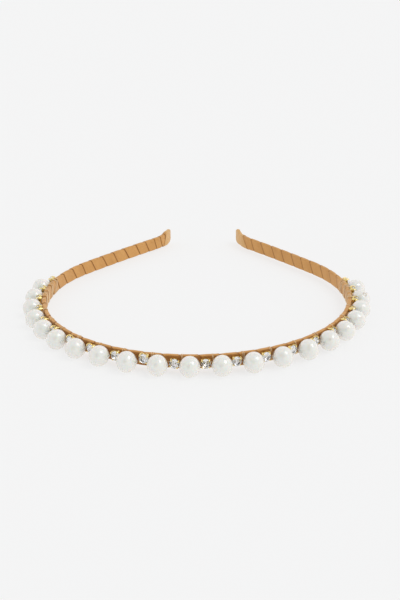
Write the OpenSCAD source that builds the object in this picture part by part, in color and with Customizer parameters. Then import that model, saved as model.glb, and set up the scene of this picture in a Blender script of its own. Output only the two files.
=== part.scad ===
// Beaded headband: a flat spring strip wound with satin ribbon, carrying drilled pearls and
// claw-set stones that are lashed on with clear thread. It lies on its side: +Z is across the
// width of the band, the crown points to -Y and the two tips to +Y, and the table is z = 0.
// Places on the band are given as a length s along its middle line, 0 at the crown and
// positive towards +X, and pieces on it are drawn in (along, across, outward) from there.

/* [Band curve] */
// Radius of the crown arc, at the middle of the band's thickness
crown_r = 66.5; // [62:0.5:72]
// Angle that each half of the crown arc turns through
crown_angle = 97; // [92:0.5:100]
// Radius of the tighter arc behind the ear
shoulder_r = 62.5; // [58:0.5:68]
// Angle of the arc behind the ear
shoulder_angle = 30.5; // [26:0.5:34]
// Radius of the almost straight leg
leg_r = 670; // [500:10:900]
// Angle of the leg
leg_angle = 3.9; // [3:0.1:5]
// Radius of the outward flare at the tip
tip_r = 29; // [24:1:40]
// Angle of the outward flare
tip_angle = 33; // [20:1:38]

/* [Strip and ribbon] */
// Width of the spring strip
strip_w = 5.4; // [5:0.1:5.8]
// Thickness of the spring strip
strip_t = 1.1; // [0.9:0.1:1.3]
// Thickness of the wound ribbon on each face, two layers
ribbon_t = 0.3; // [0.25:0.05:0.4]
// Radius of the wound ribbon's edges
ribbon_edge_r = 0.6; // [0.4:0.1:0.7]
// Length of the folded ribbon end over each tip
fold_len = 8; // [6:0.5:10]
// Corner radius of the tips
tip_corner_r = 2.2; // [1.4:0.1:2.5]

/* [Jewels] */
// Distance along the band from one pearl to the next
pitch = 11.5; // [11.2:0.1:12.5]
// Size of a pearl across its drilled hole
pearl_d = 8.26; // [7.8:0.02:8.4]
// Size of a pearl along its drilled hole
pearl_len = 7.6; // [7.2:0.1:7.8]
// Diameter of the drilled hole
pearl_bore = 0.8; // [0.7:0.1:1.2]
// Width of the square base of a claw setting
setting_w = 3.6; // [3.4:0.1:3.8]
// Height of a setting's base
setting_base_h = 1.3; // [1.2:0.1:1.5]
// Height above the middle of the band of the settings nearest to the ends
setting_rise = 1.4; // [0:0.1:1.6]
// Diameter of a stone
stone_d = 3.9; // [3.6:0.1:4]
// Diameter of the thread
thread_d = 0.3; // [0.2:0.05:0.35]

/* [Flex] */
// Distance past a pearl of each place where the ribbon is parted for the flex
flex_after_pearl = 3; // [2.7:0.1:3.2]
// Width of the parting in the ribbon
flex_gap = 0.3; // [0.2:0.05:0.4]

/* [Hidden] */
pearls_each_side = 10;
flex_pearls = [1, 4, 7];
deg = 180 / PI;
air = 0.02;
band_w = strip_w + 2 * ribbon_t;
band_t = strip_t + 2 * ribbon_t;
band_z = pearl_d / 2;
bead_gap = 0.05;
channel_w = 0.9;
channel_h = 0.6;
scallop_r = 0.85;
scallop_n = 1.75;
thread_angle = 66;
round_steps = 3;
pearl_steps = 18;
$fn = 64;

// Heights of a stone's point, girdle and table above the ribbon, and widths as shares of its radius
stone_seat_n = 0.55;
stone_girdle_n = 1.85;
stone_table_n = 2.75;
girdle_t = 0.12;
culet_share = 0.1;
table_share = 0.53;

// Outline of one claw, as (distance past the stone's edge, outward)
CLAW = [[0.05, 0.9], [0.6, 0.9], [0.55, 2.1], [0.15, 2.65], [-0.35, 2.6], [-0.3, 2.38], [0.05, 2.1]];
claw_w = 0.6;
claw_count = 4;
seat_floor_r = 0.2;
seat_drop = 0.1;

// Lengths along the middle line where one arc ends and the next begins
crown_end = crown_r * crown_angle / deg;
shoulder_end = crown_end + shoulder_r * shoulder_angle / deg;
leg_end = shoulder_end + leg_r * leg_angle / deg;
tip_end = leg_end + tip_r * tip_angle / deg;
strip_end_back = 0.7;

// Headings at those places, and the centres of the four arcs
h1 = crown_angle;
h2 = h1 + shoulder_angle;
h3 = h2 + leg_angle;
h4 = h3 - tip_angle;
function out(h) = [sin(h), -cos(h)];
crown_c = [0, crown_r];
shoulder_c = crown_c + (crown_r - shoulder_r) * out(h1);
leg_c = shoulder_c + (shoulder_r - leg_r) * out(h2);
tip_c = leg_c + (leg_r + tip_r) * out(h3);

// The origin is below the middle of the whole object
far_y = (tip_c - tip_r * out(h4)).y + band_t / 2 * abs(out(h4).y);
near_y = -band_t / 2 - bead_gap - pearl_d;
mid_y = (far_y + near_y) / 2;

function heading_right(s) =
    s <= crown_end ? s / crown_r * deg
    : s <= shoulder_end ? h1 + (s - crown_end) / shoulder_r * deg
    : s <= leg_end ? h2 + (s - shoulder_end) / leg_r * deg
    : h3 - (s - leg_end) / tip_r * deg;
function point_right(s) =
    let (h = heading_right(s))
    s <= crown_end ? crown_c + crown_r * out(h)
    : s <= shoulder_end ? shoulder_c + shoulder_r * out(h)
    : s <= leg_end ? leg_c + leg_r * out(h)
    : tip_c - tip_r * out(h);
function heading(s) = sign(s) * heading_right(abs(s));
function point(s) = let (p = point_right(abs(s))) [(s < 0 ? -1 : 1) * p.x, p.y];

// Where the ribbon is parted on each side
flex_s = [for (k = flex_pearls) k * pitch + flex_after_pearl];
function jewel_s(k) = k * pitch;
function stone_s(k) = (k + 0.5) * pitch;

// Settings are sewn higher and higher across the band on the way from the crown
rise_start = 10;
rise_length = 70;
function rise(s) = setting_rise * min(1, max(0, (abs(s) - rise_start) / rise_length));

// A rectangle with round corners, as a closed outline
function corner(x, y, r, from) =
    [for (i = [0 : round_steps]) let (a = from + 90 * i / round_steps) [x + r * cos(a), y + r * sin(a)]];
function rounded(w, h, r) = concat(
    corner(w / 2 - r, h / 2 - r, r, 0), corner(r - w / 2, h / 2 - r, r, 90),
    corner(r - w / 2, r - h / 2, r, 180), corner(w / 2 - r, r - h / 2, r, 270));

// Cross-sections of the band, as (outward, across)
module strip_section() { square([strip_t, strip_w], center = true); }
module wound_section() { polygon(rounded(band_t, band_w, ribbon_edge_r)); }
module sleeve_section() {
    difference() {
        wound_section();
        square([strip_t + 2 * air, strip_w + 2 * air], center = true);
    }
}

// Sweeps a cross-section along one arc, between two headings
module arc(centre, r, from, to) {
    translate([centre.x, centre.y, 0]) rotate([0, 0, from - 90])
        rotate_extrude(angle = to - from) translate([r, 0]) children();
}
module flare_arc(from, to) {
    translate([tip_c.x, tip_c.y, 0]) rotate([0, 0, to + 90])
        rotate_extrude(angle = from - to) translate([tip_r, 0]) mirror([1, 0]) children();
}
// Sweeps a cross-section along the right half of the band, from length a to length b
module sweep(a, b) {
    translate([0, -mid_y, band_z]) {
        if (a < crown_end)
            arc(crown_c, crown_r, heading(a), heading(min(b, crown_end))) children();
        if (b > crown_end && a < shoulder_end)
            arc(shoulder_c, shoulder_r, heading(max(a, crown_end)), heading(min(b, shoulder_end)))
                children();
        if (b > shoulder_end && a < leg_end)
            arc(leg_c, leg_r, heading(max(a, shoulder_end)), heading(min(b, leg_end))) children();
        if (b > leg_end)
            flare_arc(heading(max(a, leg_end)), heading(b)) children();
    }
}
// Puts a piece on the band at length s, drawn as (along, across, outward from the ribbon)
module on_band(s) {
    p = point(s);
    translate([p.x, p.y - mid_y, band_z]) rotate([0, 0, heading(s)]) rotate([90, 0, 0])
        translate([0, 0, band_t / 2]) children();
}
module side(name) { if (name == "left") mirror([1, 0, 0]) children(); else children(); }

// The round-cornered outline that a tip is cut to, drawn as (along, across)
module tip_outline(back) {
    w = band_w - 2 * back;
    reach = 3 * fold_len;
    r = tip_corner_r - back;
    on_band(tip_end) translate([-back - reach / 2, 0, -band_t - fold_len])
        linear_extrude(band_t + 2 * fold_len) polygon(rounded(reach, w, r));
}

// Spring strip, one piece from tip to tip
module half_strip() {
    sweep(0, tip_end - fold_len) strip_section();
    intersection() {
        sweep(tip_end - fold_len, tip_end) strip_section();
        tip_outline(strip_end_back);
    }
}
module spring_strip() {
    color("silver") {
        half_strip();
        mirror([1, 0, 0]) half_strip();
    }
}

// Satin ribbon wound round the strip, parted where the band flexes
module ribbon_crown() {
    color("tan") sweep(flex_gap / 2 - flex_s[0], flex_s[0] - flex_gap / 2) sleeve_section();
}
module ribbon_stretch(i) {
    from = flex_s[i] + flex_gap / 2;
    to = i < 2 ? flex_s[i + 1] - flex_gap / 2 : tip_end - fold_len;
    color("tan") sweep(from, to) sleeve_section();
}

// Ribbon end folded over the tip
module tip_fold() {
    color("burlywood") difference() {
        intersection() {
            sweep(tip_end - fold_len, tip_end) wound_section();
            tip_outline(0);
        }
        intersection() {
            sweep(tip_end - fold_len - air, tip_end)
                square([strip_t + 2 * air, strip_w + 2 * air], center = true);
            tip_outline(strip_end_back - air);
        }
    }
}

// Pearl number k, 0 at the crown, drilled along the band
module pearl(k) {
    open_at = acos(pearl_bore / pearl_d);
    color("ivory") on_band(jewel_s(k)) translate([0, 0, bead_gap + pearl_d / 2]) rotate([0, 90, 0])
        rotate_extrude() polygon([
            for (i = [0 : pearl_steps]) let (a = open_at * (2 * i / pearl_steps - 1))
                [pearl_d / 2 * cos(a), pearl_len / 2 * sin(a)]
        ]);
}

// Round brilliant stone, table outwards
module stone(k) {
    r = stone_d / 2;
    color("aliceblue") on_band(stone_s(k)) translate([0, rise(stone_s(k)), 0]) rotate_extrude() polygon([
        [0, stone_seat_n], [culet_share * r, stone_seat_n], [r, stone_girdle_n],
        [r, stone_girdle_n + girdle_t], [table_share * r, stone_table_n], [0, stone_table_n]
    ]);
}

// Four-claw setting: a square base with a seat for the stone, two crossing thread channels below
// and a scallop in each side between the claws
module claw() {
    rotate([90, 0, 0]) linear_extrude(claw_w, center = true)
        polygon([for (p = CLAW) [stone_d / 2 + p.x, p.y]]);
}
module setting(k) {
    r = stone_d / 2;
    slope = r / (stone_girdle_n - stone_seat_n);
    color("gold") on_band(stone_s(k)) translate([0, rise(stone_s(k)), 0]) {
        difference() {
            translate([-setting_w / 2, -setting_w / 2, 0]) cube([setting_w, setting_w, setting_base_h]);
            translate([0, 0, stone_seat_n - seat_drop])
                cylinder(h = setting_base_h, r1 = seat_floor_r, r2 = seat_floor_r + slope * setting_base_h);
            for (turn = [0, 90]) rotate([0, 0, turn]) {
                translate([-setting_w, -channel_w / 2, -1]) cube([2 * setting_w, channel_w, 1 + channel_h]);
                translate([-setting_w, 0, scallop_n]) rotate([0, 90, 0])
                    cylinder(h = 2 * setting_w, r = scallop_r);
            }
        }
        for (i = [0 : claw_count - 1]) rotate([0, 0, 45 + 360 / claw_count * i]) claw();
    }
}

// Loop of thread round the wound band, at a distance u along it
module loop(u) {
    grow = 2 * (air + thread_d);
    translate([u - thread_d / 2, 0, -band_t / 2]) rotate([90, 0, 90]) linear_extrude(thread_d)
        difference() {
            polygon(rounded(band_w + grow, band_t + grow, ribbon_edge_r + thread_d));
            polygon(rounded(band_w + 2 * air, band_t + 2 * air, ribbon_edge_r));
        }
}
// Thread through a pearl and down both its sides to a loop round the band
module pearl_thread(k) {
    a = pearl_len / 2 + bead_gap;
    b = pearl_d / 2 + bead_gap;
    steps = 7;
    function bend(grow) = [
        for (i = [0 : steps]) let (t = -5 + (thread_angle + 5) * i / steps)
            [(a + grow) * cos(t), b - (b - air + grow) * sin(t)]
    ];
    leg = concat(bend(0), [for (i = [steps : -1 : 0]) bend(thread_d)[i]]);
    color("whitesmoke") on_band(jewel_s(k)) {
        translate([-a - thread_d / 2, 0, b]) rotate([0, 90, 0])
            cylinder(h = 2 * a + thread_d, d = thread_d);
        for (turn = [0, 1]) mirror([turn, 0, 0]) {
            rotate([90, 0, 0]) linear_extrude(thread_d, center = true) polygon(leg);
            loop((a + thread_d / 2) * cos(thread_angle));
        }
    }
}
// Two turns of thread through a setting's channel and round the band
module setting_thread(k) {
    color("whitesmoke") on_band(stone_s(k)) for (u = [-1, 1]) loop(0.7 * thread_d * u);
}
module threads(pearl_numbers, stone_numbers) {
    for (k = pearl_numbers) pearl_thread(k);
    for (k = stone_numbers) setting_thread(k);
}

// Jewels on each stretch of the band, by number from the crown
CROWN_PEARLS = [-1, 0, 1];
CROWN_STONES = [-1, 0];
STRETCHES = ["shoulder", "temple", "arm"];
STRETCH_PEARLS = [[2, 3, 4], [5, 6, 7], [8, 9, 10]];
STRETCH_STONES = [[1, 2, 3], [4, 5, 6], [7, 8, 9, 10]];
SIDES = ["left", "right"];

function two_digits(i) = str(i < 10 ? "0" : "", i);
function pearl_name(k) = str("pearl_", two_digits(k + pearls_each_side + 1));
function stretch_names(what) = [for (s = SIDES) for (p = STRETCHES) str(what, "_", s, "_", p)];

spring_strip();
ribbon_crown();
for (k = CROWN_STONES) stone(k);  // stones_crown
for (k = CROWN_STONES) setting(k);  // settings_crown
threads(CROWN_PEARLS, CROWN_STONES);  // threads_crown
for (k = [-pearls_each_side : pearls_each_side])
    pearl(k);
for (name = SIDES) {
    side(name) tip_fold();
    for (i = [0 : len(STRETCHES) - 1]) {
        end = str("_", name, "_", STRETCHES[i]);
        pearl_numbers = STRETCH_PEARLS[i];
        stone_numbers = STRETCH_STONES[i];
        side(name) ribbon_stretch(i);
        side(name) for (k = stone_numbers) stone(k);
        side(name) for (k = stone_numbers) setting(k);
        side(name) threads(pearl_numbers, stone_numbers);
    }
}
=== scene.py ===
"""Looks of the beaded headband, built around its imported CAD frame.

Lengths are millimetres until a mesh is made. The band's middle line is the same run of arcs as in the
CAD model: s is the length along it from the crown, positive towards +X. A piece on the band is drawn
in (along, across, outward), and turns count how often the ribbon has gone round the band.
"""

import math
import random

import bmesh
import bpy
import numpy as np
from mathutils import Matrix, Vector, noise


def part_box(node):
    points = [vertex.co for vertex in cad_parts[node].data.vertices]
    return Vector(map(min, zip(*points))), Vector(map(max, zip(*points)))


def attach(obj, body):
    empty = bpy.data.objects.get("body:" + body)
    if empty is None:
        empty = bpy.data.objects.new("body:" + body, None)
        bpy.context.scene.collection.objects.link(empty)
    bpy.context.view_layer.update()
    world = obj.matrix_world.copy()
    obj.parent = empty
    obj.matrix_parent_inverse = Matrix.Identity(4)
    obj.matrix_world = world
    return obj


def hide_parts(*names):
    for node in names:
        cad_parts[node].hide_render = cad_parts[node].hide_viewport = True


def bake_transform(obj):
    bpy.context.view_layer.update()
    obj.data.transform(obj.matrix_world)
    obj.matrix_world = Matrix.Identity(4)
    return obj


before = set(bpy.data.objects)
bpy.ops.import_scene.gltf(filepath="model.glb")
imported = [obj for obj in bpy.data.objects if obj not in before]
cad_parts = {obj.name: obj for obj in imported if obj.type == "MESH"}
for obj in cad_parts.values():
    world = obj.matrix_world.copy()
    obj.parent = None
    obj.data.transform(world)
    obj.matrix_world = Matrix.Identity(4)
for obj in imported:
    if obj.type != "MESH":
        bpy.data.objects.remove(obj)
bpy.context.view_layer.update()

MM = 0.001
AIR = 0.02

# Band curve: radius and turned angle of each arc from the crown to the tip; the last one flares out
BAND_ARCS = (
    (66.5, math.radians(97)),
    (62.5, math.radians(30.5)),
    (670, math.radians(3.9)),
    (-29, math.radians(-33)),
)

# Wound band and the strip inside it
BAND_T = 1.7
EDGE_R = 0.6
STRIP_W = 5.4
STRIP_T = 1.1
WOUND_T = 0.3

# Folded tips: how much fuller the top and bottom edge get and over which stretch before the tip, and
# each corner's length and height
TIP_FULLER = {"right": (0.38, 0.12), "left": (0.25, 0.12)}
TIP_FULLER_SPAN = {"right": (8.5, 1.5), "left": (12.0, 4.0)}
TOP_CORNER = {"right": (3.2, 2.1), "left": (2.0, 1.6)}
BOTTOM_CORNER = (4.0, 2.8)

# Slanted edge of the folded ribbon: its place along the band and its slant
FOLD_ROOT = {"right": 195.0, "left": 199.6}
FOLD_SLANT = {"right": 0.72, "left": 0.4}

# Satin ribbon: it is wound from the right tip, so each turn's exposed edge faces +s
RIBBON_W = 10
RIBBON_T = 0.14
WIND_PITCH = 7.2
EDGE_AT_CROWN = 10.52
WANDER = 0.45
CROWDED_FROM = -190
CROWDED_SHARE = 0.6
LOOSER_FROM = -115
LOOSER_SHARE = 1.013
NARROWED = 0.1
NARROWED_UNTIL = (70, 125)
# Lengths over which the painted shade on the outer face among the jewels fades out
SHADED_UNTIL = (112, 122)
TRIM_RIGHT = 198.6
TRIM_LEFT = -202.4

# Jewels, spaced evenly along the band
PITCH = 11.5
PEARLS_EACH_SIDE = 10
BEAD_GAP = 0.05
PEARL_BORE_R = 0.4
PEARL_ENDS_PROUD = 0.15
SETTING_W = 3.6
SETTING_H = 1.3
CHANNEL_W = 0.9
CHANNEL_H = 0.6
SCALLOP_R = 0.9
SCALLOP_AT = 1.75
SETTING_RISE = 1.25
RISE_START = 10
RISE_LENGTH = 70
UNEVEN_RISE = {-2: 1.1, -7: 0.6}
STONE_R = 1.95
STONE_SEAT = 0.55
STONE_GIRDLE = 1.85
STONE_TABLE = 2.75
GIRDLE_T = 0.12
THREAD_R = 0.11
BUNDLE_R = 0.37

# Pearls that have turned on the thread, by number from the crown: how far about the outward axis, how far
# the hole rises outward, and how dark the ring round the hole is
TURNED_PEARLS = {8: (math.radians(57), math.radians(-26)), 9: (math.radians(-53), math.radians(-23))}
HOLE_RING = {8: 0.5, 9: 1.0}

# Loops of thread round the band by each pearl: their places along it and steepest lean. The last pearls
# on each side have many more of them
FRONT_LOOPS, FRONT_LEAN = (-2.9, -2.4), -1.1
END_LOOPS, END_LEAN = np.linspace(-4.2, 4.2, 13), -3.2
END_LOOPS_FROM = 9
LEAST_LEAN = -0.3
UNDER_PEARL = 1.3

# Places of the three flex joints on each side, and half the stretch about each joint, which bend_over works
# out but does not use
FLEX_S = (14.5, 49.0, 83.5)
BEND_REACH = 6
STRETCHES = ("shoulder", "temple", "arm")

# Camera, about a point on the floor
CAMERA_DISTANCE = 467.7
CAMERA_ELEVATION = math.radians(21.53)
CAMERA_AZIMUTH = math.radians(-2.23)
CAMERA_ROLL = math.radians(-0.63)
CAMERA_TARGET = Vector((1.11, 0.82, 0))
CAMERA_LENS = 62.68


# ---------------------------------------------------------------- the band's curve and cross-section

pearl_low, pearl_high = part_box("pearl_11")
PEARL_R = (pearl_high.z - pearl_low.z) / 2 / MM
PEARL_HALF = (pearl_high.x - pearl_low.x) / 2 / MM + PEARL_ENDS_PROUD
ribbon_low, ribbon_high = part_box("ribbon_crown")
BAND_W = (ribbon_high.z - ribbon_low.z) / MM
BAND_Z = (ribbon_high.z + ribbon_low.z) / 2 / MM
PEARL_OUT = BAND_T / 2 + BEAD_GAP + PEARL_R
CROWN_Y = (pearl_low.y + pearl_high.y) / 2 / MM + PEARL_OUT


def arc_starts():
    """Start length, place and heading of each arc of the right half, and the length to the tip."""
    starts, s, x, y, heading = [], 0, 0, 0, 0
    for radius, turn in BAND_ARCS:
        starts.append((s, x, y, heading, radius))
        x += radius * (math.sin(heading + turn) - math.sin(heading))
        y += radius * (math.cos(heading) - math.cos(heading + turn))
        heading += turn
        s += radius * turn
    return np.array(starts), s


ARCS, TIP_S = arc_starts()


def band_line(s):
    """Heading and place of the band's middle line at signed lengths s."""
    s = np.asarray(s, float)
    side, length = np.where(s < 0, -1.0, 1.0), np.abs(s)
    start, x, y, heading, radius = ARCS[np.searchsorted(ARCS[1:, 0], length)].T
    turned = heading + (length - start) / radius
    x = x + radius * (np.sin(turned) - np.sin(heading))
    y = y + radius * (np.cos(heading) - np.cos(turned))
    return side * turned, side * x, y + CROWN_Y


def on_band(s, across, outward):
    """Points in metres at lengths s, measured across the band and outward from its middle line."""
    heading, x, y = band_line(s)
    s, across, outward = np.broadcast_arrays(s, across, outward)
    places = [x + outward * np.sin(heading), y - outward * np.cos(heading), BAND_Z + across]
    return np.stack(places, -1) * MM


def narrowed(s, across):
    """Place across the band, which the sewing thread draws in where the jewels are."""
    return across * (1 - NARROWED * (1 - smoothstep(*NARROWED_UNTIL, np.abs(s))))


def fuller(s, across):
    """How much the folded ribbon fills out the band's width at the tips."""
    share = 1
    for side, sign in (("right", 1), ("left", -1)):
        start, full = TIP_FULLER_SPAN[side]
        near = smoothstep(TIP_S - start, TIP_S - full, sign * np.asarray(s))
        share = share + near * np.where(across > 0, *TIP_FULLER[side])
    return share


def seat(s, raised=0.0, turned=0.0):
    """Matrix that puts a piece drawn in millimetres on the ribbon's outer face at length s."""
    heading = float(band_line(s)[0])
    place = Vector(on_band(s, raised, BAND_T / 2).tolist())
    axes = Matrix((
        (math.cos(heading), 0, math.sin(heading)),
        (math.sin(heading), 0, -math.cos(heading)),
        (0, 1, 0),
    ))
    return Matrix.Translation(place) @ axes.to_4x4() @ Matrix.Rotation(turned, 4, "Z") @ Matrix.Scale(MM, 4)


def section_outline():
    """Once round the wound band from the middle of its top edge, down the outer face and up the inner.

    Gives the share of the way round, the place (outward, across) and the normal at each point.
    """
    flat, tall = BAND_T / 2 - EDGE_R, BAND_W / 2 - EDGE_R
    points, normals = [(0, BAND_W / 2)], [(0, 1)]
    for corner, (n, w) in enumerate(((flat, tall), (flat, -tall), (-flat, -tall), (-flat, tall))):
        for angle in np.radians(90 - 90 * corner - np.linspace(0, 90, 7)):
            points.append((n + EDGE_R * math.cos(angle), w + EDGE_R * math.sin(angle)))
            normals.append((math.cos(angle), math.sin(angle)))
    points.append(points[0])
    normals.append(normals[0])
    points, normals = np.array(points), np.array(normals)
    way = np.concatenate([[0], np.cumsum(np.linalg.norm(np.diff(points, axis=0), axis=1))])
    return way / way[-1], points, normals, way[-1]


OUTLINE_SHARE, OUTLINE, OUTLINE_NORMAL, PERIMETER = section_outline()

# Share of a turn by which the ribbon's width laps over the turn before
OVERLAP = RIBBON_W * math.hypot(PERIMETER, WIND_PITCH) / PERIMETER / WIND_PITCH - 1


def round_band(turns, lift):
    """(outward, across) at so many turns round the section, lifted from the strip's surface."""
    share = np.asarray(turns) % 1.0
    along = [np.interp(share, OUTLINE_SHARE, OUTLINE[:, i]) for i in (0, 1)]
    away = [np.interp(share, OUTLINE_SHARE, OUTLINE_NORMAL[:, i]) for i in (0, 1)]
    return [along[i] + away[i] * (lift - WOUND_T) for i in (0, 1)]


def body_at(s):
    """Name of the body that carries the band at length s."""
    passed = sum(abs(s) > flex for flex in FLEX_S)
    side = "left" if s < 0 else "right"
    return "crown" if passed == 0 else f"{side}_{STRETCHES[passed - 1]}"


def check_curve():
    """Stops the script if the CAD pearls don't lie on this curve."""
    for number, s in ((1, -PEARLS_EACH_SIDE * PITCH), (21, PEARLS_EACH_SIDE * PITCH)):
        low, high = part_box(f"pearl_{number:02d}")
        off = ((low + high) / 2 - Vector(on_band(s, 0, PEARL_OUT).tolist())).length / MM
        if off > 0.1:
            raise ValueError(f"pearl_{number:02d} is {off:.2f} mm off the band's curve")


# ---------------------------------------------------------------- mesh helpers

def smoothstep(low, high, x):
    t = np.clip((np.asarray(x, float) - low) / (high - low), 0, 1)
    return t * t * (3 - 2 * t)


def grid_faces(rows, columns, first=0, closed_columns=True, closed_rows=False):
    """Quads over a grid of points that may close on itself either way."""
    faces = []
    for i in range(rows if closed_rows else rows - 1):
        a, b = first + i * columns, first + (i + 1) % rows * columns
        for j in range(columns if closed_columns else columns - 1):
            k = (j + 1) % columns
            faces.append((a + j, a + k, b + k, b + j))
    return faces


def piece(name, points, faces, materials, sharp=40):
    """A mesh object from points in metres, smooth but for edges sharper than so many degrees."""
    mesh = bpy.data.meshes.new(name)
    mesh.from_pydata(np.asarray(points, float).reshape(-1, 3).tolist(), [], faces)
    shaped = bmesh.new()
    shaped.from_mesh(mesh)
    bmesh.ops.recalc_face_normals(shaped, faces=shaped.faces)
    shaped.to_mesh(mesh)
    shaped.free()
    for material in materials:
        mesh.materials.append(material)
    mesh.shade_smooth()
    mesh.set_sharp_from_angle(angle=math.radians(sharp))
    made = bpy.data.objects.new(name, mesh)
    bpy.context.scene.collection.objects.link(made)
    return made


def note(made, name, values):
    """Writes a number or a vector for each point, which a material reads by name."""
    values = np.asarray(values, np.float32)
    kind, field = ("FLOAT", "value") if values.ndim == 1 else ("FLOAT_VECTOR", "vector")
    made.data.attributes.new(name, kind, "POINT").data.foreach_set(field, values.ravel())


def tube_points(path, radius, sides):
    """Rings of points round a path of points in metres."""
    path = np.asarray(path, float)
    ahead = np.gradient(path, axis=0)
    ahead /= np.linalg.norm(ahead, axis=1)[:, None]
    side = np.cross(ahead, (0.31, 0.17, 0.93))
    side /= np.linalg.norm(side, axis=1)[:, None]
    other = np.cross(ahead, side)
    turn = np.arange(sides) / sides * 2 * math.pi
    ring = side[:, None] * np.cos(turn)[None, :, None] + other[:, None] * np.sin(turn)[None, :, None]
    return (path[:, None] + ring * radius * MM).reshape(-1, 3)


# ---------------------------------------------------------------- materials

class Nodes:
    """A material's node tree with short ways to add and join nodes."""

    def __init__(self, name):
        self.material = bpy.data.materials.new(name)
        self.material.use_nodes = True
        self.tree = self.material.node_tree
        self.shader = self.tree.nodes["Principled BSDF"]

    def add(self, kind, inputs=(), **settings):
        made = self.tree.nodes.new("ShaderNode" + kind)
        for key, value in settings.items():
            setattr(made, key, value)
        for socket, value in dict(inputs).items():
            if isinstance(value, bpy.types.NodeSocket):
                self.tree.links.new(value, made.inputs[socket])
            else:
                made.inputs[socket].default_value = value
        return made

    def set(self, **values):
        for socket, value in values.items():
            self.shader.inputs[socket.replace("_", " ")].default_value = value

    def join(self, output, socket):
        self.tree.links.new(output, self.shader.inputs[socket])

    def attribute(self, name, output="Fac"):
        return self.add("Attribute", attribute_name=name).outputs[output]

    def stretched(self, vector, scale):
        return self.add("Mapping", {"Vector": vector, "Scale": scale}).outputs["Vector"]

    def noise(self, vector, scale, detail=3.0, roughness=0.5):
        inputs = {"Vector": vector, "Scale": scale, "Detail": detail, "Roughness": roughness}
        return self.add("TexNoise", inputs).outputs["Fac"]

    def spread(self, value, low, high, to_low=0.0, to_high=1.0):
        inputs = {"Value": value, "From Min": low, "From Max": high, "To Min": to_low, "To Max": to_high}
        return self.add("MapRange", inputs).outputs["Result"]

    def math(self, operation, a, b):
        return self.add("Math", {0: a, 1: b}, operation=operation).outputs["Value"]

    def mix(self, share, a, b, blend="MIX"):
        made = self.add("Mix", data_type="RGBA", blend_type=blend)
        for socket, value in zip((made.inputs[0], made.inputs[6], made.inputs[7]), (share, a, b)):
            if isinstance(value, bpy.types.NodeSocket):
                self.tree.links.new(value, socket)
            else:
                socket.default_value = value
        return made.outputs[2]

    def bump(self, height, distance, strength=1.0, below=None):
        inputs = {"Height": height, "Distance": distance, "Strength": strength}
        if below is not None:
            inputs["Normal"] = below
        return self.add("Bump", inputs).outputs["Normal"]

    def object_place(self):
        return self.add("TexCoord").outputs["Object"]


def satin():
    """Tan satin: long warp floats painted lighter as sheen, a fine weft, uneven dye, painted light on the
    folded ends, and dark painted shade and darker selvedges where turns overlap.
    """
    m = Nodes("satin")
    cloth = m.attribute("cloth_place", "Vector")
    floats = m.noise(m.stretched(cloth, (9, 0.35, 1)), 1.0, 2.0)
    weft = m.noise(m.stretched(cloth, (0.6, 7, 1)), 1.0, 1.0)
    blotch = m.noise(m.stretched(cloth, (0.16, 0.1, 1)), 1.0, 3.0, 0.6)
    dye = m.mix(m.spread(blotch, 0.35, 0.65), (0.58, 0.275, 0.072, 1), (0.67, 0.335, 0.096, 1))
    shine = m.mix(m.spread(floats, 0.3, 0.7, 0.0, 0.3), dye, (0.75, 0.45, 0.175, 1))
    # Painted light: the folded ends are lighter
    wear_and_painted_light = m.mix(m.attribute("pale"), shine, (0.80, 0.54, 0.24, 1))
    # Dark brown: painted shade beside each turn's edge and on the outer face among the jewels, and a darker
    # selvedge
    colour = m.mix(m.attribute("selvedge_and_painted_shade"), wear_and_painted_light, (0.29, 0.10, 0.013, 1))
    m.join(colour, "Base Color")
    m.join(m.spread(floats, 0.3, 0.7, 0.36, 0.52), "Roughness")
    weave = m.math("ADD", floats, m.math("MULTIPLY", weft, 0.6))
    m.join(m.bump(weave, 0.00004, 0.5), "Normal")
    m.set(Sheen_Weight=0.1, Sheen_Roughness=0.4, Specular_IOR_Level=0.3)
    m.shader.inputs["Sheen Tint"].default_value = (1.0, 0.80, 0.52, 1)
    return m.material


def nacre():
    """Off-white nacre with a soft overtone, faint growth bands, a painted tan reflection high on some pearls
    and a dark ring round some holes.
    """
    m = Nodes("nacre")
    place = m.object_place()
    cloud = m.noise(place, 0.35, 4.0, 0.55)
    tone = m.mix(m.spread(cloud, 0.3, 0.7), (0.89, 0.885, 0.81, 1), (0.91, 0.895, 0.825, 1))
    overtone = m.mix(m.spread(m.noise(place, 0.22, 1.0), 0.45, 0.7, 0, 0.25), tone, (0.95, 0.89, 0.85, 1))
    # Tan: the painted reflection high on some pearls, and the ring round some holes
    with_reflection_and_ring = m.mix(m.attribute("painted_reflection_and_ring"), overtone, (0.62, 0.48, 0.32, 1))
    m.join(with_reflection_and_ring, "Base Color")
    m.join(m.spread(m.noise(place, 0.9, 3.0), 0.3, 0.7, 0.28, 0.38), "Roughness")
    m.join(m.bump(m.noise(place, 0.6, 2.0, 0.5), 0.00003, 0.3), "Normal")
    m.set(Coat_Weight=1.0, Coat_Roughness=0.09, Coat_IOR=2.0, Specular_IOR_Level=0.6)
    m.set(Sheen_Weight=0.7, Sheen_Roughness=0.3, Sheen_Tint=(1.0, 0.94, 0.84, 1))
    m.set(Thin_Film_Thickness=330.0, Thin_Film_IOR=1.45)
    m.set(Subsurface_Weight=0.4, Subsurface_Radius=(1.0, 0.85, 0.7), Subsurface_Scale=0.0012)
    return m.material


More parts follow.
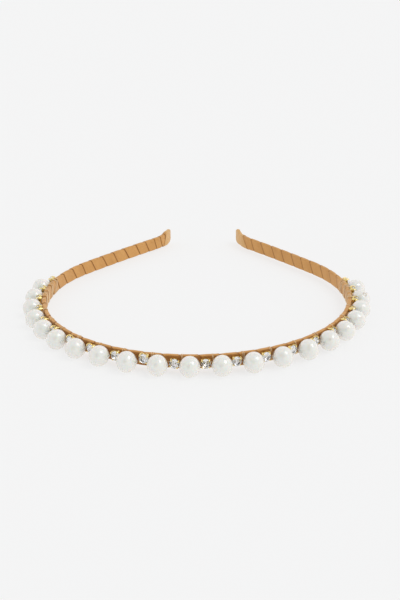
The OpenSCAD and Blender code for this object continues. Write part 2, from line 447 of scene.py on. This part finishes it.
def gold():
    """Bright gold plate with fine polishing streaks."""
    m = Nodes("gold_plate")
    place = m.object_place()
    rubbed = m.noise(m.stretched(place, (1.5, 6, 1.5)), 1.0, 3.0)
    m.join(m.mix(m.spread(rubbed, 0.3, 0.7), (1.0, 0.74, 0.26, 1), (1.0, 0.84, 0.40, 1)), "Base Color")
    m.join(m.spread(rubbed, 0.3, 0.7, 0.14, 0.27), "Roughness")
    m.join(m.bump(rubbed, 0.00002, 0.4), "Normal")
    m.set(Metallic=1.0)
    return m.material


def cut_glass():
    m = Nodes("cut_glass")
    m.set(Transmission_Weight=1.0, Roughness=0.01, IOR=1.46, Coat_Weight=0.0)
    haze = m.noise(m.object_place(), 2.0, 2.0)
    m.join(m.mix(m.spread(haze, 0.3, 0.7), (0.96, 0.97, 0.99, 1), (1, 1, 1, 1)), "Base Color")
    return m.material


def foil():
    """Silvered back of a stone."""
    m = Nodes("stone_foil")
    m.set(Metallic=1.0, Roughness=0.13)
    # Random worn patches on the silvering
    wear_and_painted_light = m.noise(m.object_place(), 1.4, 3.0)
    m.join(m.mix(m.spread(wear_and_painted_light, 0.34, 0.42), (0.68, 0.67, 0.66, 1), (0.99, 0.99, 0.99, 1)), "Base Color")
    return m.material


def nylon():
    """Clear sewing thread: opaque, in the colour of the satin or the pearl that would show through it."""
    m = Nodes("clear_nylon")
    haze = m.spread(m.noise(m.object_place(), 400, 2.0), 0.3, 0.7)
    on_satin = m.mix(haze, (0.78, 0.54, 0.29, 1), (0.86, 0.66, 0.42, 1))
    m.join(m.mix(m.attribute("on_pearl"), on_satin, (0.93, 0.92, 0.87, 1)), "Base Color")
    m.set(Roughness=0.3, IOR=1.45, Specular_IOR_Level=0.4)
    return m.material


def steel():
    m = Nodes("spring_steel")
    drawn = m.noise(m.stretched(m.object_place(), (900, 900, 4000)), 1.0, 3.0)
    m.join(m.mix(m.spread(drawn, 0.3, 0.7), (0.42, 0.43, 0.45, 1), (0.56, 0.57, 0.58, 1)), "Base Color")
    m.join(m.spread(drawn, 0.3, 0.7, 0.25, 0.42), "Roughness")
    m.set(Metallic=1.0)
    return m.material


def table_top():
    m = Nodes("pale_table")
    m.set(Base_Color=(0.24, 0.24, 0.24, 1), Roughness=0.9, Specular_IOR_Level=0.0)
    m.set(Emission_Color=(1.0, 1.0, 1.0, 1), Emission_Strength=0.69)
    return m.material


# ---------------------------------------------------------------- wound ribbon and strip

def edge_s(turns):
    """Length along the band of the ribbon's exposed edge, so many turns from the crown."""
    turns = np.asarray(turns, float)
    s = EDGE_AT_CROWN + WIND_PITCH * turns
    s = s + WANDER * (np.sin(turns * 1.05 + 0.6) + 0.6 * np.sin(turns * 2.3 + 2.0))
    s = np.where(s < LOOSER_FROM, LOOSER_FROM + (s - LOOSER_FROM) * LOOSER_SHARE, s)
    return np.where(s < CROWDED_FROM, CROWDED_FROM + (s - CROWDED_FROM) * CROWDED_SHARE, s)


def turns_at(s):
    """Turns at which the exposed edge is at length s."""
    past_left_tip, past_right_tip = -36, 32
    turns = np.linspace(past_left_tip, past_right_tip, 8000)
    return float(np.interp(s, edge_s(turns), turns))


def ribbon_columns(back):
    """Places across the ribbon, in turns back from its exposed edge, closer together at its edges."""
    inner = np.linspace(0, 1, 23)
    return back[0] + (back[1] - back[0]) * (inner - 0.09 * np.sin(2 * math.pi * inner))


def ribbon_lift(back, turns):
    """Height of the ribbon's under face above the strip: it rests on the turn before up to OVERLAP."""
    resting = (RIBBON_T + AIR) * (1 - smoothstep(OVERLAP, 0.97, back))
    puffed = 0.03 * np.sin(np.clip(back, 0, 1) * math.pi) * (0.6 + 0.4 * np.sin(turns * 3.1))
    loose = 0.035 * np.exp(-((back / 0.05) ** 2)) * (0.5 + 0.5 * np.sin(turns * 1.7 + 1))
    return AIR + resting + puffed + loose


def ribbon_selvedge_and_painted_shade(back, s):
    """How dark the cloth is: painted shade beside the next turn's edge, and along its own edge a darker
    selvedge with painted shade of the step, stronger on the right half.
    """
    beside = np.exp(-(((back - 1.0) / 0.04) ** 2)) + (back > 1.0)
    own = np.where(s > 0, 0.95, 0.5) * np.exp(-((back / np.where(s > 0, 0.045, 0.02)) ** 2))
    return np.clip(np.maximum(beside, own), 0, 1)


def wound_ribbon(name, first, last, material):
    """The ribbon from one number of turns to another, as one closed strip of cloth."""
    rows = sorted(
        whole + share
        for whole in range(math.floor(first), math.ceil(last))
        for share in np.unique(np.concatenate([OUTLINE_SHARE[:-1], OUTLINE_SHARE[7:9].mean(keepdims=True),
                                               np.linspace(0.1, 0.4, 7), np.linspace(0.6, 0.9, 7)]))
    )
    rows = [first] + [row for row in rows if first + 0.004 < row < last - 0.004] + [last]
    highest, lowest = turns_at(TRIM_RIGHT), turns_at(TRIM_LEFT)
    full_back = 1 + OVERLAP
    half_t = RIBBON_T / 2
    points, cloth, selvedge_and_painted_shade = [], [], []
    for turns in rows:
        back = ribbon_columns((max(0.0, turns - highest), min(full_back, turns - lowest)))
        lift = ribbon_lift(back, turns)
        # The two rounded edges of the cloth have a point of their own, half way up
        around = np.concatenate([back, back[-1:], back[::-1], back[:1]])
        lifts = np.concatenate([lift + RIBBON_T, lift[-1:] + half_t, lift[::-1], lift[:1] + half_t])
        s = edge_s(turns - around)
        count = len(back)
        s[count] -= half_t
        s[-1] += half_t
        outward, across = round_band(np.full(len(around), turns), lifts)
        points.append(on_band(s, narrowed(s, across) * fuller(s, across), outward))
        along = turns * math.hypot(PERIMETER, WIND_PITCH)
        cloth.append(np.stack([around * WIND_PITCH, np.full(len(around), along), lifts], -1))
        # Painted shade on the outer face in front, among the jewels, fading out towards the sides
        shaded = 0.7 * smoothstep(0.6, 0.85, outward) * (1 - smoothstep(*SHADED_UNTIL, np.abs(s)))
        selvedge_and_painted_shade.append(np.maximum(ribbon_selvedge_and_painted_shade(around, s), shaded))
    columns = len(points[0])
    faces = grid_faces(len(rows), columns)
    for row in (0, len(rows) - 1):
        start = row * columns
        top, under = list(range(count)), [2 * count - j for j in range(count)]
        faces += [(start + top[j], start + top[j + 1], start + under[j + 1], start + under[j])
                  for j in range(count - 1)]
        faces += [(start + top[-1], start + count, start + under[-1]),
                  (start + top[0], start + under[0], start + columns - 1)]
    made = piece(name, np.concatenate(points), faces, [material])
    note(made, "cloth_place", np.concatenate(cloth))
    note(made, "selvedge_and_painted_shade", np.concatenate(selvedge_and_painted_shade))
    length = (last - first) * math.hypot(PERIMETER, WIND_PITCH)
    return made, length


def folded_end(side, trim_s, material):
    """Ribbon end folded over the tip, from a slanted edge over the last turn to the rounded tip."""
    sign = 1 if side == "right" else -1
    rings = 30
    round_count = 72
    share = np.arange(round_count) / round_count
    end_r = 0.75
    over_strip, step_up = 0.16, 0.17
    pleat_depth = 0.05

    def ring(way, lift_back, end_back):
        """One ring of the outer or inner face, from the root at way 0 to the end at way 1."""
        end = TIP_S - end_back
        _, across = round_band(share, WOUND_T)
        root = FOLD_ROOT[side] + FOLD_SLANT[side] * across
        eased = 1 - (1 - way) ** 1.6
        s = root + (end - root) * eased
        over = 1 - smoothstep(trim_s, trim_s + 1.6, s)
        lift = over_strip + step_up * over - lift_back
        pleats = pleat_depth * smoothstep(end - 4.5, end - 0.8, s) * np.sin(across * 7 + s * 0.8)
        outward, across = round_band(share, lift + RIBBON_T + pleats)
        length, height = (np.where(across > 0, *sizes) for sizes in zip(TOP_CORNER[side], BOTTOM_CORNER))
        into_corner = np.clip((s - (end - length)) / length, 0, 1)
        wide = fuller(sign * s, across) * (1 - height / (BAND_W / 2) * (1 - np.sqrt(1 - into_corner**2)))
        into_fold = np.clip((s - (end - end_r)) / end_r, 0, 1)
        thick = 0.22 + 0.78 * np.sqrt(np.clip(1 - into_fold**2, 0, 1))
        return on_band(sign * s, across * wide, outward * thick), s, across

    points, cloth, selvedge_and_painted_shade = [], [], []
    ways = np.linspace(0, 1, rings)
    for way, lift_back, end_back in (
        [(w, 0, 0) for w in ways] + [(w, RIBBON_T, RIBBON_T) for w in ways[::-1]]
    ):
        place, s, across = ring(way, lift_back, end_back)
        points.append(place)
        cloth.append(np.stack([across, s, np.zeros_like(s)], -1))
        # Painted shade along the slanted root edge, where the fold lies over the last turn
        selvedge_and_painted_shade.append(0.5 * np.exp(-((way / 0.03) ** 2)) * np.ones_like(s))
    faces = grid_faces(2 * rings, round_count)
    # The root edge of the cloth joins its outer and inner faces
    last = (2 * rings - 1) * round_count
    for j in range(round_count):
        k = (j + 1) % round_count
        faces.append((j, k, last + k, last + j))
    # The grid's middle band would join the two closed ends, so the ends are filled instead
    middle = [(rings - 1) * round_count + j for j in range(round_count)]
    inner = [rings * round_count + j for j in range(round_count)]
    faces = [f for f in faces if not (f[0] in middle and f[2] in inner)]
    half = round_count // 2
    for loop in (middle, inner):
        for j in range(half - 1):
            faces.append((loop[j], loop[j + 1], loop[-j - 2], loop[-j - 1]))
    made = piece(f"folded_end_{side}", np.concatenate(points), faces, [material])
    note(made, "cloth_place", np.concatenate(cloth))
    note(made, "selvedge_and_painted_shade", np.concatenate(selvedge_and_painted_shade))
    # Painted light over the whole folded end
    note(made, "pale", np.full(len(made.data.vertices), 0.4))
    return made


def strip_stretch(name, from_s, to_s, material):
    """A stretch of the spring strip inside the ribbon."""
    edge = 0.12
    w, t = STRIP_W / 2 - AIR, STRIP_T / 2 - AIR
    outline = []
    for corner, (n, a) in enumerate(((1, 1), (-1, 1), (-1, -1), (1, -1))):
        for angle in np.radians(90 * corner + np.array([10, 45, 80])):
            outline.append((n * (t - edge) + edge * math.cos(angle), a * (w - edge) + edge * math.sin(angle)))
    outline = np.array(outline)
    stations = np.arange(from_s, to_s, 0.9).tolist() + [to_s]
    rings = []
    for s in stations:
        into_corner = min(max((abs(s) - (TIP_S - 2.2)) / 1.6, 0), 1)
        narrow = 1 - 0.62 * (1 - math.sqrt(1 - into_corner**2))
        rings.append(on_band(s, narrowed(s, outline[:, 1] * narrow), outline[:, 0]))
    count = len(outline)
    faces = grid_faces(len(stations), count)
    faces += [tuple(range(count)), tuple((len(stations) - 1) * count + j for j in range(count))]
    return piece(name, np.concatenate(rings), faces, [material])


def bend_over(made, side, joint):
    """Bakes a piece's place into its mesh. The ends of the stretch about the flex joint are worked out, but
    nothing bends there.
    """
    sign = 1 if side == "right" else -1
    start, end = (on_band(sign * (FLEX_S[joint] + reach), 0, BAND_T / 2).tolist()
                  for reach in (-BEND_REACH, BEND_REACH))
    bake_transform(made)


# Lengths at which the ribbon and the strip are divided, half way between the flex joints
DIVIDED_S = (0.0, (FLEX_S[0] + FLEX_S[1]) / 2, (FLEX_S[1] + FLEX_S[2]) / 2)
OUTER_FACE_SHARE = 0.25


def divided_turns(s):
    """Turns nearest to length s at which a cut across the ribbon lies on the outer face."""
    middle = turns_at(s) + (1 + OVERLAP) / 2
    return round(middle - OUTER_FACE_SHARE) + OUTER_FACE_SHARE


def make_band(cloth, metal):
    """Ribbon and strip in six stretches, each of which crosses one flex joint."""
    ends = {
        "right": turns_at(TRIM_RIGHT) + 1 + OVERLAP - 0.03,
        "left": turns_at(TRIM_LEFT) + 0.03,
    }
    for side, sign in (("right", 1), ("left", -1)):
        for joint, stretch in enumerate(STRETCHES):
            near = divided_turns(sign * DIVIDED_S[joint])
            far = ends[side] if joint == 2 else divided_turns(sign * DIVIDED_S[joint + 1])
            ribbon, length = wound_ribbon(
                f"satin_wrap_{side}_{stretch}", min(near, far), max(near, far), cloth)
            bend_over(ribbon, side, joint)
            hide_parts(f"ribbon_{side}_{stretch}", "ribbon_crown")
            near_s = DIVIDED_S[joint]
            far_s = TIP_S - 0.7 if joint == 2 else DIVIDED_S[joint + 1]
            stretch_s = sorted((sign * near_s, sign * far_s))
            core = strip_stretch(f"spring_core_{side}_{stretch}", *stretch_s, metal)
            bend_over(core, side, joint)
            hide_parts("spring_strip")
    for side, trim_s in (("right", TRIM_RIGHT), ("left", -TRIM_LEFT)):
        fold = folded_end(side, trim_s, cloth)
        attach(fold, f"{side}_arm")
        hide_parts(f"tip_fold_{side}")


# ---------------------------------------------------------------- pearls

def pearl_profile():
    """Half section of a drilled pearl, as (along the hole, from its middle), closed through the hole."""
    rim = 0.1
    open_at = math.asin((PEARL_BORE_R + rim) / PEARL_R)
    outside = [
        (-PEARL_HALF * math.cos(a), PEARL_R * math.sin(a))
        for a in np.linspace(open_at, math.pi - open_at, 41)
    ]
    end = outside[-1][0]
    lip = [
        (end - rim * (1 - math.cos(a)) * 0.9, PEARL_BORE_R + rim * (1 - math.sin(a)))
        for a in np.radians((22, 45, 68, 90))
    ]
    wall = [(x, PEARL_BORE_R) for x in (2.2, 0.8, -0.8, -2.2)]
    return outside + lip + wall + [(-x, r) for x, r in reversed(lip)]


def make_pearl(k, material, chance):
    """Pearl number k from the crown, a little uneven, with its hole along the band or turned away."""
    number = k + PEARLS_EACH_SIDE + 1
    profile = np.array(pearl_profile())
    around = np.arange(56) / 56 * 2 * math.pi
    along = np.repeat(profile[:, 0][:, None], len(around), 1)
    across = profile[:, 1][:, None] * np.sin(around)[None]
    outward = profile[:, 1][:, None] * np.cos(around)[None]
    points = np.stack([along, across, outward], -1).reshape(-1, 3)
    seed = Vector([chance.uniform(-50, 50) for _ in range(3)])
    beside, above = chance.uniform(-0.2, 0.2), chance.uniform(-0.15, 0.15)
    # Painted tan reflection high on the outer side of some pearls, always in the same direction
    reflection_at = Vector((-0.55 + beside, 0.62 + above, 0.55)).normalized()
    reflection_size = chance.choice((0.0, 0.12, 0.17))
    ring_shade = HOLE_RING.get(k, 0.0)
    reflection_and_ring = []
    for i, (x, y, z) in enumerate(points):
        away = Vector((x, y, z))
        uneven = noise.noise(away * 0.24 + seed) * 0.07 + noise.noise(away * 0.7 + seed) * 0.012
        outside = 1.0 if math.hypot(y, z) > PEARL_BORE_R + 0.01 else 0.0
        points[i] = away + away.normalized() * uneven * outside
        near = math.exp(-(((away.normalized() - reflection_at).length / max(reflection_size, 0.01)) ** 2))
        rim = math.exp(-(((math.hypot(y, z) - PEARL_BORE_R - 0.35) / 0.22) ** 2))
        reflection_and_ring.append(min(1.0, 0.25 * near * (reflection_size > 0) + ring_shade * rim))
    made = piece(f"drilled_pearl_{number:02d}", points,
                 grid_faces(len(profile), len(around), closed_rows=True), [material], sharp=60)
    note(made, "painted_reflection_and_ring", reflection_and_ring)
    turn, rise = TURNED_PEARLS.get(k, (0.0, 0.0))
    turn += math.radians(chance.uniform(-2, 2))
    turned = Matrix.Rotation(turn, 4, "Z") @ Matrix.Rotation(-rise, 4, "Y")
    made.data.transform(Matrix.Translation((0, 0, BEAD_GAP + PEARL_R)) @ turned)
    made.matrix_world = seat(k * PITCH)
    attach(made, body_at(k * PITCH))
    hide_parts(f"pearl_{number:02d}")


# ---------------------------------------------------------------- stones and settings

def stone_mesh(glass, silver):
    """Single-cut stone: octagonal table, eight crown facets, girdle, and eight foiled facets below."""
    sides = 8
    table_r = 0.56 * STONE_R
    half_turn = math.pi / sides
    crown_slope = (STONE_TABLE - STONE_GIRDLE - GIRDLE_T) / (STONE_R - table_r * math.cos(half_turn))
    under_slope = (STONE_GIRDLE - STONE_SEAT) / STONE_R
    corner_inset = STONE_R * (1 - math.cos(half_turn))

    def ring(count, radius, heights):
        return [(radius * math.cos(a), radius * math.sin(a), heights[i % 2])
                for i, a in enumerate(2 * math.pi * np.arange(count) / count)]

    # Facets are flat, so the girdle is thicker at the corners between them
    points = ring(sides, table_r, (STONE_TABLE, STONE_TABLE))
    top = STONE_GIRDLE + GIRDLE_T
    points += ring(2 * sides, STONE_R, (top + crown_slope * corner_inset, top))
    points += ring(2 * sides, STONE_R, (STONE_GIRDLE - under_slope * corner_inset, STONE_GIRDLE))
    points.append((0, 0, STONE_SEAT))
    g, u, tip = sides, 3 * sides, 5 * sides
    crown, pavilion = [tuple(range(sides))], []
    for i in range(sides):
        j = (i + 1) % sides
        low, middle, high = 2 * i, 2 * i + 1, 2 * j
        crown.append((i, g + low, g + middle, g + high, j))
        crown += [(g + low, u + low, u + middle, g + middle), (g + middle, u + middle, u + high, g + high)]
        pavilion.append((u + low, tip, u + high, u + middle))
    mesh_piece = piece("stone_pattern", np.array(points), crown + pavilion, [glass, silver], sharp=5)
    mesh = mesh_piece.data
    for face in mesh.polygons:
        face.use_smooth = False
        face.material_index = 1 if tip in face.vertices else 0
    bpy.data.objects.remove(mesh_piece)
    return mesh


def carve(target, cutters):
    """Cuts the cutters out of the target and removes them."""
    for cutter in cutters:
        cut = target.modifiers.new("cut", "BOOLEAN")
        cut.object = cutter
        cut.solver = "EXACT"
    apply_modifiers(target)
    for cutter in cutters:
        bpy.data.objects.remove(cutter)


def apply_modifiers(made):
    """Replaces the mesh by what its modifiers make of it."""
    graph = bpy.context.evaluated_depsgraph_get()
    graph.update()
    mesh = bpy.data.meshes.new_from_object(made.evaluated_get(graph))
    made.modifiers.clear()
    made.data = mesh


def rounded_square(half, corner, steps=5):
    """Outline of a square with round corners."""
    outline, flat = [], half - corner
    for i, (x, y) in enumerate(((1, 1), (-1, 1), (-1, -1), (1, -1))):
        for a in np.radians(90 * i + np.linspace(0, 90, steps)):
            outline.append((x * flat + corner * math.cos(a), y * flat + corner * math.sin(a)))
    return outline


def lofted(name, layers, materials):
    """A closed solid through outlines of equal count, each given as (outline, height)."""
    points = [(x, y, height) for outline, height in layers for x, y in outline]
    count = len(layers[0][0])
    faces = grid_faces(len(layers), count)
    faces += [tuple(range(count)), tuple((len(layers) - 1) * count + j for j in range(count))]
    return piece(name, np.array(points), faces, materials)


def circle_outline(radius, count=48):
    return [(radius * math.cos(a), radius * math.sin(a)) for a in np.arange(count) / count * 2 * math.pi]


def channel_outline():
    """Section of a thread channel, with a round roof."""
    half = CHANNEL_W / 2
    roof = [(half * math.cos(a), CHANNEL_H - half + half * math.sin(a)) for a in np.linspace(0, math.pi, 13)]
    return [(half, -1)] + roof + [(-half, -1)]


def crossing_cutter(outline, turned):
    """Cutter that runs straight through a setting, given its section as (sideways, up)."""
    made = lofted("cutter", [(outline, -SETTING_W), (outline, SETTING_W)], [])
    made.data.transform(Matrix.Rotation(turned, 4, "Z") @ Matrix.Rotation(math.pi / 2, 4, "X"))
    return made


def claw_points():
    """One claw as rings of a rounded bar that rises from a corner and bends in over the stone."""
    line = np.array([(2.05, 0.55), (2.20, 1.05), (2.28, 1.55), (2.26, 2.0), (2.10, 2.34), (1.86, 2.52),
                     (1.66, 2.60), (1.56, 2.62)])
    smooth = np.linspace(0, len(line) - 1, 22)
    radial = np.interp(smooth, range(len(line)), line[:, 0])
    height = np.interp(smooth, range(len(line)), line[:, 1])
    for _ in range(2):
        radial[1:-1] = (radial[:-2] + 2 * radial[1:-1] + radial[2:]) / 4
        height[1:-1] = (height[:-2] + 2 * height[1:-1] + height[2:]) / 4
    ahead = np.stack([np.gradient(radial), np.gradient(height)], -1)
    ahead /= np.linalg.norm(ahead, axis=1)[:, None]
    way = np.linspace(0, 1, len(smooth))
    half_wide = 0.34 - 0.12 * way
    half_thick = 0.16 - 0.03 * way
    close = np.sqrt(np.clip(1 - ((way - 0.9) / 0.1).clip(0, 1) ** 2, 0.02, 1))
    turn = np.arange(12) / 12 * 2 * math.pi

    def squared(a):
        return np.sign(a) * np.abs(a) ** 0.6

    wide = squared(np.cos(turn))[None] * (half_wide * close)[:, None]
    thick = squared(np.sin(turn))[None] * (half_thick * close)[:, None]
    points = np.stack([
        radial[:, None] + thick * ahead[:, 1][:, None],
        wide,
        height[:, None] - thick * ahead[:, 0][:, None],
    ], -1)
    faces = grid_faces(len(smooth), len(turn))
    faces += [tuple(range(12)), tuple((len(smooth) - 1) * 12 + j for j in range(12))]
    return points.reshape(-1, 3), faces


def setting_mesh(material):
    """Sew-on claw setting: a square cup with two crossing thread channels and four claws."""
    wide, narrow = SETTING_W / 2, SETTING_W / 2 - 0.3
    cup = lofted("cup", [
        (rounded_square(narrow, 0.4), 0.0), (rounded_square(narrow + 0.05, 0.4), 0.35),
        (rounded_square(wide - 0.05, 0.45), 0.95), (rounded_square(wide, 0.5), SETTING_H),
    ], [material])
    slope = (STONE_R - 0.02) / (STONE_GIRDLE - STONE_SEAT)
    bowl = lofted("bowl", [
        (circle_outline(0.25), STONE_SEAT - 0.14),
        (circle_outline(0.25 + slope * (2 + SETTING_H - STONE_SEAT)), SETTING_H + 2.0),
    ], [])
    scallop = [(x, y + SCALLOP_AT) for x, y in circle_outline(SCALLOP_R)]
    crossing = [crossing_cutter(outline, turned) for outline in (channel_outline(), scallop)
                for turned in (0.0, math.pi / 2)]
    carve(cup, [bowl] + crossing)
    bevel = cup.modifiers.new("bevel", "BEVEL")
    bevel.width = 0.07
    bevel.segments = 2
    bevel.limit_method = "ANGLE"
    bevel.angle_limit = math.radians(35)
    apply_modifiers(cup)
    shaped = bmesh.new()
    shaped.from_mesh(cup.data)
    points, faces = claw_points()
    for i in range(4):
        turned = Matrix.Rotation(math.radians(45 + 90 * i), 3, "Z")
        made = [shaped.verts.new(turned @ Vector(p)) for p in points]
        for face in faces:
            shaped.faces.new([made[j] for j in face])
    bmesh.ops.recalc_face_normals(shaped, faces=shaped.faces)
    mesh = bpy.data.meshes.new("setting_pattern")
    shaped.to_mesh(mesh)
    shaped.free()
    bpy.data.objects.remove(cup)
    mesh.materials.clear()
    mesh.materials.append(material)
    mesh.shade_smooth()
    mesh.set_sharp_from_angle(angle=math.radians(38))
    return mesh


def stone_places(chance):
    """Length, rise and turn of each stone in its setting, from the left end to the right end."""
    places = []
    for k in range(-PEARLS_EACH_SIDE - 1, PEARLS_EACH_SIDE + 1):
        s = (k + 0.5) * PITCH
        ramp = min(max((abs(s) - RISE_START) / RISE_LENGTH, 0), 1)
        raised = UNEVEN_RISE.get(k, SETTING_RISE * ramp + chance.uniform(-0.1, 0.1))
        places.append((s, raised, math.radians(chance.uniform(-14, 14))))
    return places


def make_stones(places, glass, silver, plate, chance):
    stone, setting = stone_mesh(glass, silver), setting_mesh(plate)
    for number, (s, raised, turned) in enumerate(places, start=1):
        body = body_at(s)
        for name, mesh, spun, slot in (
            (f"cut_stone_{number:02d}", stone, chance.uniform(0, math.pi / 4), "stone"),
            (f"claw_setting_{number:02d}", setting, 0.0, "setting"),
        ):
            made = bpy.data.objects.new(name, mesh)
            bpy.context.scene.collection.objects.link(made)
            made.matrix_world = seat(s, raised, turned + spun)
            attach(made, body)
            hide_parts(f"{slot}s_{body}")


# ---------------------------------------------------------------- sewing thread

def loop_path(s, slant):
    """Once round the wound band, leaning by slant from its bottom edge to its top edge."""
    turns = np.linspace(0, 1, 45)
    outward, across = round_band(turns, WOUND_T + THREAD_R + 0.01)
    lean = slant * across / BAND_W
    return on_band(s + lean, narrowed(s, across), outward)


def around_pearl(s, local):
    """Points in metres for places (along, across, outward) from the middle of the pearl at length s."""
    places = on_band(np.full(len(local), float(s)), local[:, 1], PEARL_OUT + local[:, 2])
    return places + along_band(s, local[:, 0])


def hole_axis(k):
    """Direction of the hole in pearl number k from the crown, as (along, across, outward)."""
    turn, rise = TURNED_PEARLS.get(k, (0.0, 0.0))
    return np.array([math.cos(turn) * math.cos(rise), math.sin(turn) * math.cos(rise), math.sin(rise)])


def hole_path(s, axis):
    """Straight through a pearl's hole."""
    return around_pearl(s, np.linspace(-1, 1, 9)[:, None] * PEARL_HALF * axis)


def pearl_leg_path(s, side, axis):
    """From an end of a pearl's hole round its side and down to the ribbon."""
    start = side * axis
    foot = np.array([side * 0.42, 0, -0.91]) / math.hypot(0.42, 0.91)
    angle = math.acos(start @ foot)
    way = np.linspace(0, 1, 14)[:, None]
    away = (np.sin((1 - way) * angle) * start + np.sin(way * angle) * foot) / math.sin(angle)
    along_axis = (away @ axis) ** 2
    reach = 1 / np.sqrt(along_axis / PEARL_HALF**2 + (1 - along_axis) / PEARL_R**2) + THREAD_R
    local = away * reach[:, None]
    end = local[-1] + (side * 0.2, 0, 0)
    end[2] = BAND_T / 2 + THREAD_R - PEARL_OUT
    return around_pearl(s, np.vstack([local, end]))


def setting_path(s, raised, across):
    """Through a setting's channel along the band and down to the ribbon at both ends."""
    along = np.array([-2.7, -2.3, -1.9, -1.2, 0, 1.2, 1.9, 2.3, 2.7])
    height = np.array([0.0, 0.05, 0.16, 0.2, 0.2, 0.2, 0.16, 0.05, 0.0])
    places = on_band(np.full(len(along), float(s)), raised + across, BAND_T / 2 + THREAD_R + height)
    return places + along_band(s, along)


def along_band(s, distances):
    heading = float(band_line(s)[0])
    return np.outer(distances, (math.cos(heading), math.sin(heading), 0)) * MM


def make_threads(places, material, chance):
    """The thread of each body: strands in the pearls and settings, and loops beside the pearls."""
    paths = {}
    for k in range(-PEARLS_EACH_SIDE, PEARLS_EACH_SIDE + 1):
        s, axis = k * PITCH, hole_axis(k)
        mine = paths.setdefault(body_at(s), [])
        mine.append((hole_path(s, axis), BUNDLE_R, 1.0))
        mine += [(pearl_leg_path(s, side, axis), THREAD_R, 1.0) for side in (-1, 1)]
        loops, steepest = (END_LOOPS, END_LEAN) if abs(k) >= END_LOOPS_FROM else (FRONT_LOOPS, FRONT_LEAN)
        for u in loops:
            if abs(u) > UNDER_PEARL:
                at = s + u + chance.uniform(-0.15, 0.15)
                mine.append((loop_path(at, chance.uniform(steepest, LEAST_LEAN)), THREAD_R, 0.0))
    for s, raised, _ in places:
        paths[body_at(s)] += [(setting_path(s, raised, across), THREAD_R, 0.0) for across in (-0.14, 0.14)]
    sides = 8
    for body, mine in sorted(paths.items()):
        points, faces, on_pearl, first = [], [], [], 0
        for path, radius, pale in mine:
            rings = len(path)
            points.append(tube_points(path, radius, sides))
            on_pearl += [pale] * rings * sides
            faces += grid_faces(rings, sides, first)
            faces += [tuple(range(first, first + sides)),
                      tuple(first + (rings - 1) * sides + j for j in range(sides))]
            first += rings * sides
        made = piece(f"sewing_thread_{body}", np.concatenate(points), faces, [material], sharp=60)
        note(made, "on_pearl", on_pearl)
        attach(made, body)
        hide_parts(f"threads_{body}")


# ---------------------------------------------------------------- stage

def make_floor():
    half = 6
    floor = piece("floor", [(-half, -half, 0), (half, -half, 0), (half, half, 0), (-half, half, 0)],
                  [(0, 1, 2, 3)], [table_top()])


def make_world():
    """A bright room, a little dimmer overhead and darker behind the camera."""
    world = bpy.data.worlds.new("studio")
    bpy.context.scene.world = world
    world.use_nodes = True
    tree = world.node_tree
    add, link = tree.nodes.new, tree.links.new
    place = add("ShaderNodeTexCoord").outputs["Generated"]

    def shade(direction, start, end, level, end_level):
        """How bright the room is by how nearly one looks in a direction."""
        toward = add("ShaderNodeVectorMath")
        toward.operation = "DOT_PRODUCT"
        toward.inputs[1].default_value = direction
        link(place, toward.inputs[0])
        made = add("ShaderNodeMapRange")
        made.interpolation_type = "SMOOTHSTEP"
        sockets = ("From Min", "From Max", "To Min", "To Max")
        for socket, value in zip(sockets, (start, end, level, end_level)):
            made.inputs[socket].default_value = value
        link(toward.outputs["Value"], made.inputs["Value"])
        return made.outputs["Result"]

    tint = add("ShaderNodeRGB")
    tint.outputs["Color"].default_value = (0.905, 0.91, 0.92, 1)
    colour = tint.outputs["Color"]
    for level in (shade((0, 0, 1), 0.0, 1.0, 1.07, 0.84), shade((-0.2, -0.86, 0.47), 0.86, 0.98, 1.0, 0.3)):
        scaled = add("ShaderNodeVectorMath")
        scaled.operation = "SCALE"
        link(colour, scaled.inputs[0])
        link(level, scaled.inputs["Scale"])
        colour = scaled.outputs["Vector"]
    background = tree.nodes["Background"]
    background.inputs["Strength"].default_value = 1.0
    link(colour, background.inputs["Color"])


def make_lights():
    """A large soft light above and to the right."""
    light = bpy.data.lights.new("soft_key", "SUN")
    light.energy = 0.5
    light.angle = math.radians(32)
    light.color = (1.0, 0.99, 0.97)
    key = bpy.data.objects.new("soft_key", light)
    bpy.context.scene.collection.objects.link(key)
    key.rotation_mode = "QUATERNION"
    key.rotation_quaternion = Vector((0.52, -0.21, 0.825)).to_track_quat("Z", "Y")


def make_camera():
    data = bpy.data.cameras.new("camera")
    data.lens = CAMERA_LENS
    data.clip_start, data.clip_end = 0.01, 30
    camera = bpy.data.objects.new("camera", data)
    bpy.context.scene.collection.objects.link(camera)
    bpy.context.scene.camera = camera
    ahead = Vector((
        math.sin(CAMERA_AZIMUTH) * math.cos(CAMERA_ELEVATION),
        math.cos(CAMERA_AZIMUTH) * math.cos(CAMERA_ELEVATION),
        -math.sin(CAMERA_ELEVATION),
    ))
    level = Vector((math.cos(CAMERA_AZIMUTH), -math.sin(CAMERA_AZIMUTH), 0))
    up = level.cross(ahead)
    right = level * math.cos(CAMERA_ROLL) + up * math.sin(CAMERA_ROLL)
    up = right.cross(ahead)
    axes = Matrix((right, up, -ahead)).transposed().to_4x4()
    camera.matrix_world = Matrix.Translation((CAMERA_TARGET - ahead * CAMERA_DISTANCE) * MM) @ axes


def main():
    check_curve()
    make_camera()
    make_world()
    make_lights()
    make_floor()
    make_band(satin(), steel())
    chance = random.Random(7)
    pearl_material = nacre()
    for k in range(-PEARLS_EACH_SIDE, PEARLS_EACH_SIDE + 1):
        make_pearl(k, pearl_material, chance)
    places = stone_places(chance)
    make_stones(places, cut_glass(), foil(), gold(), chance)
    make_threads(places, nylon(), chance)
    bpy.context.scene.view_settings.view_transform = "Standard"


main()
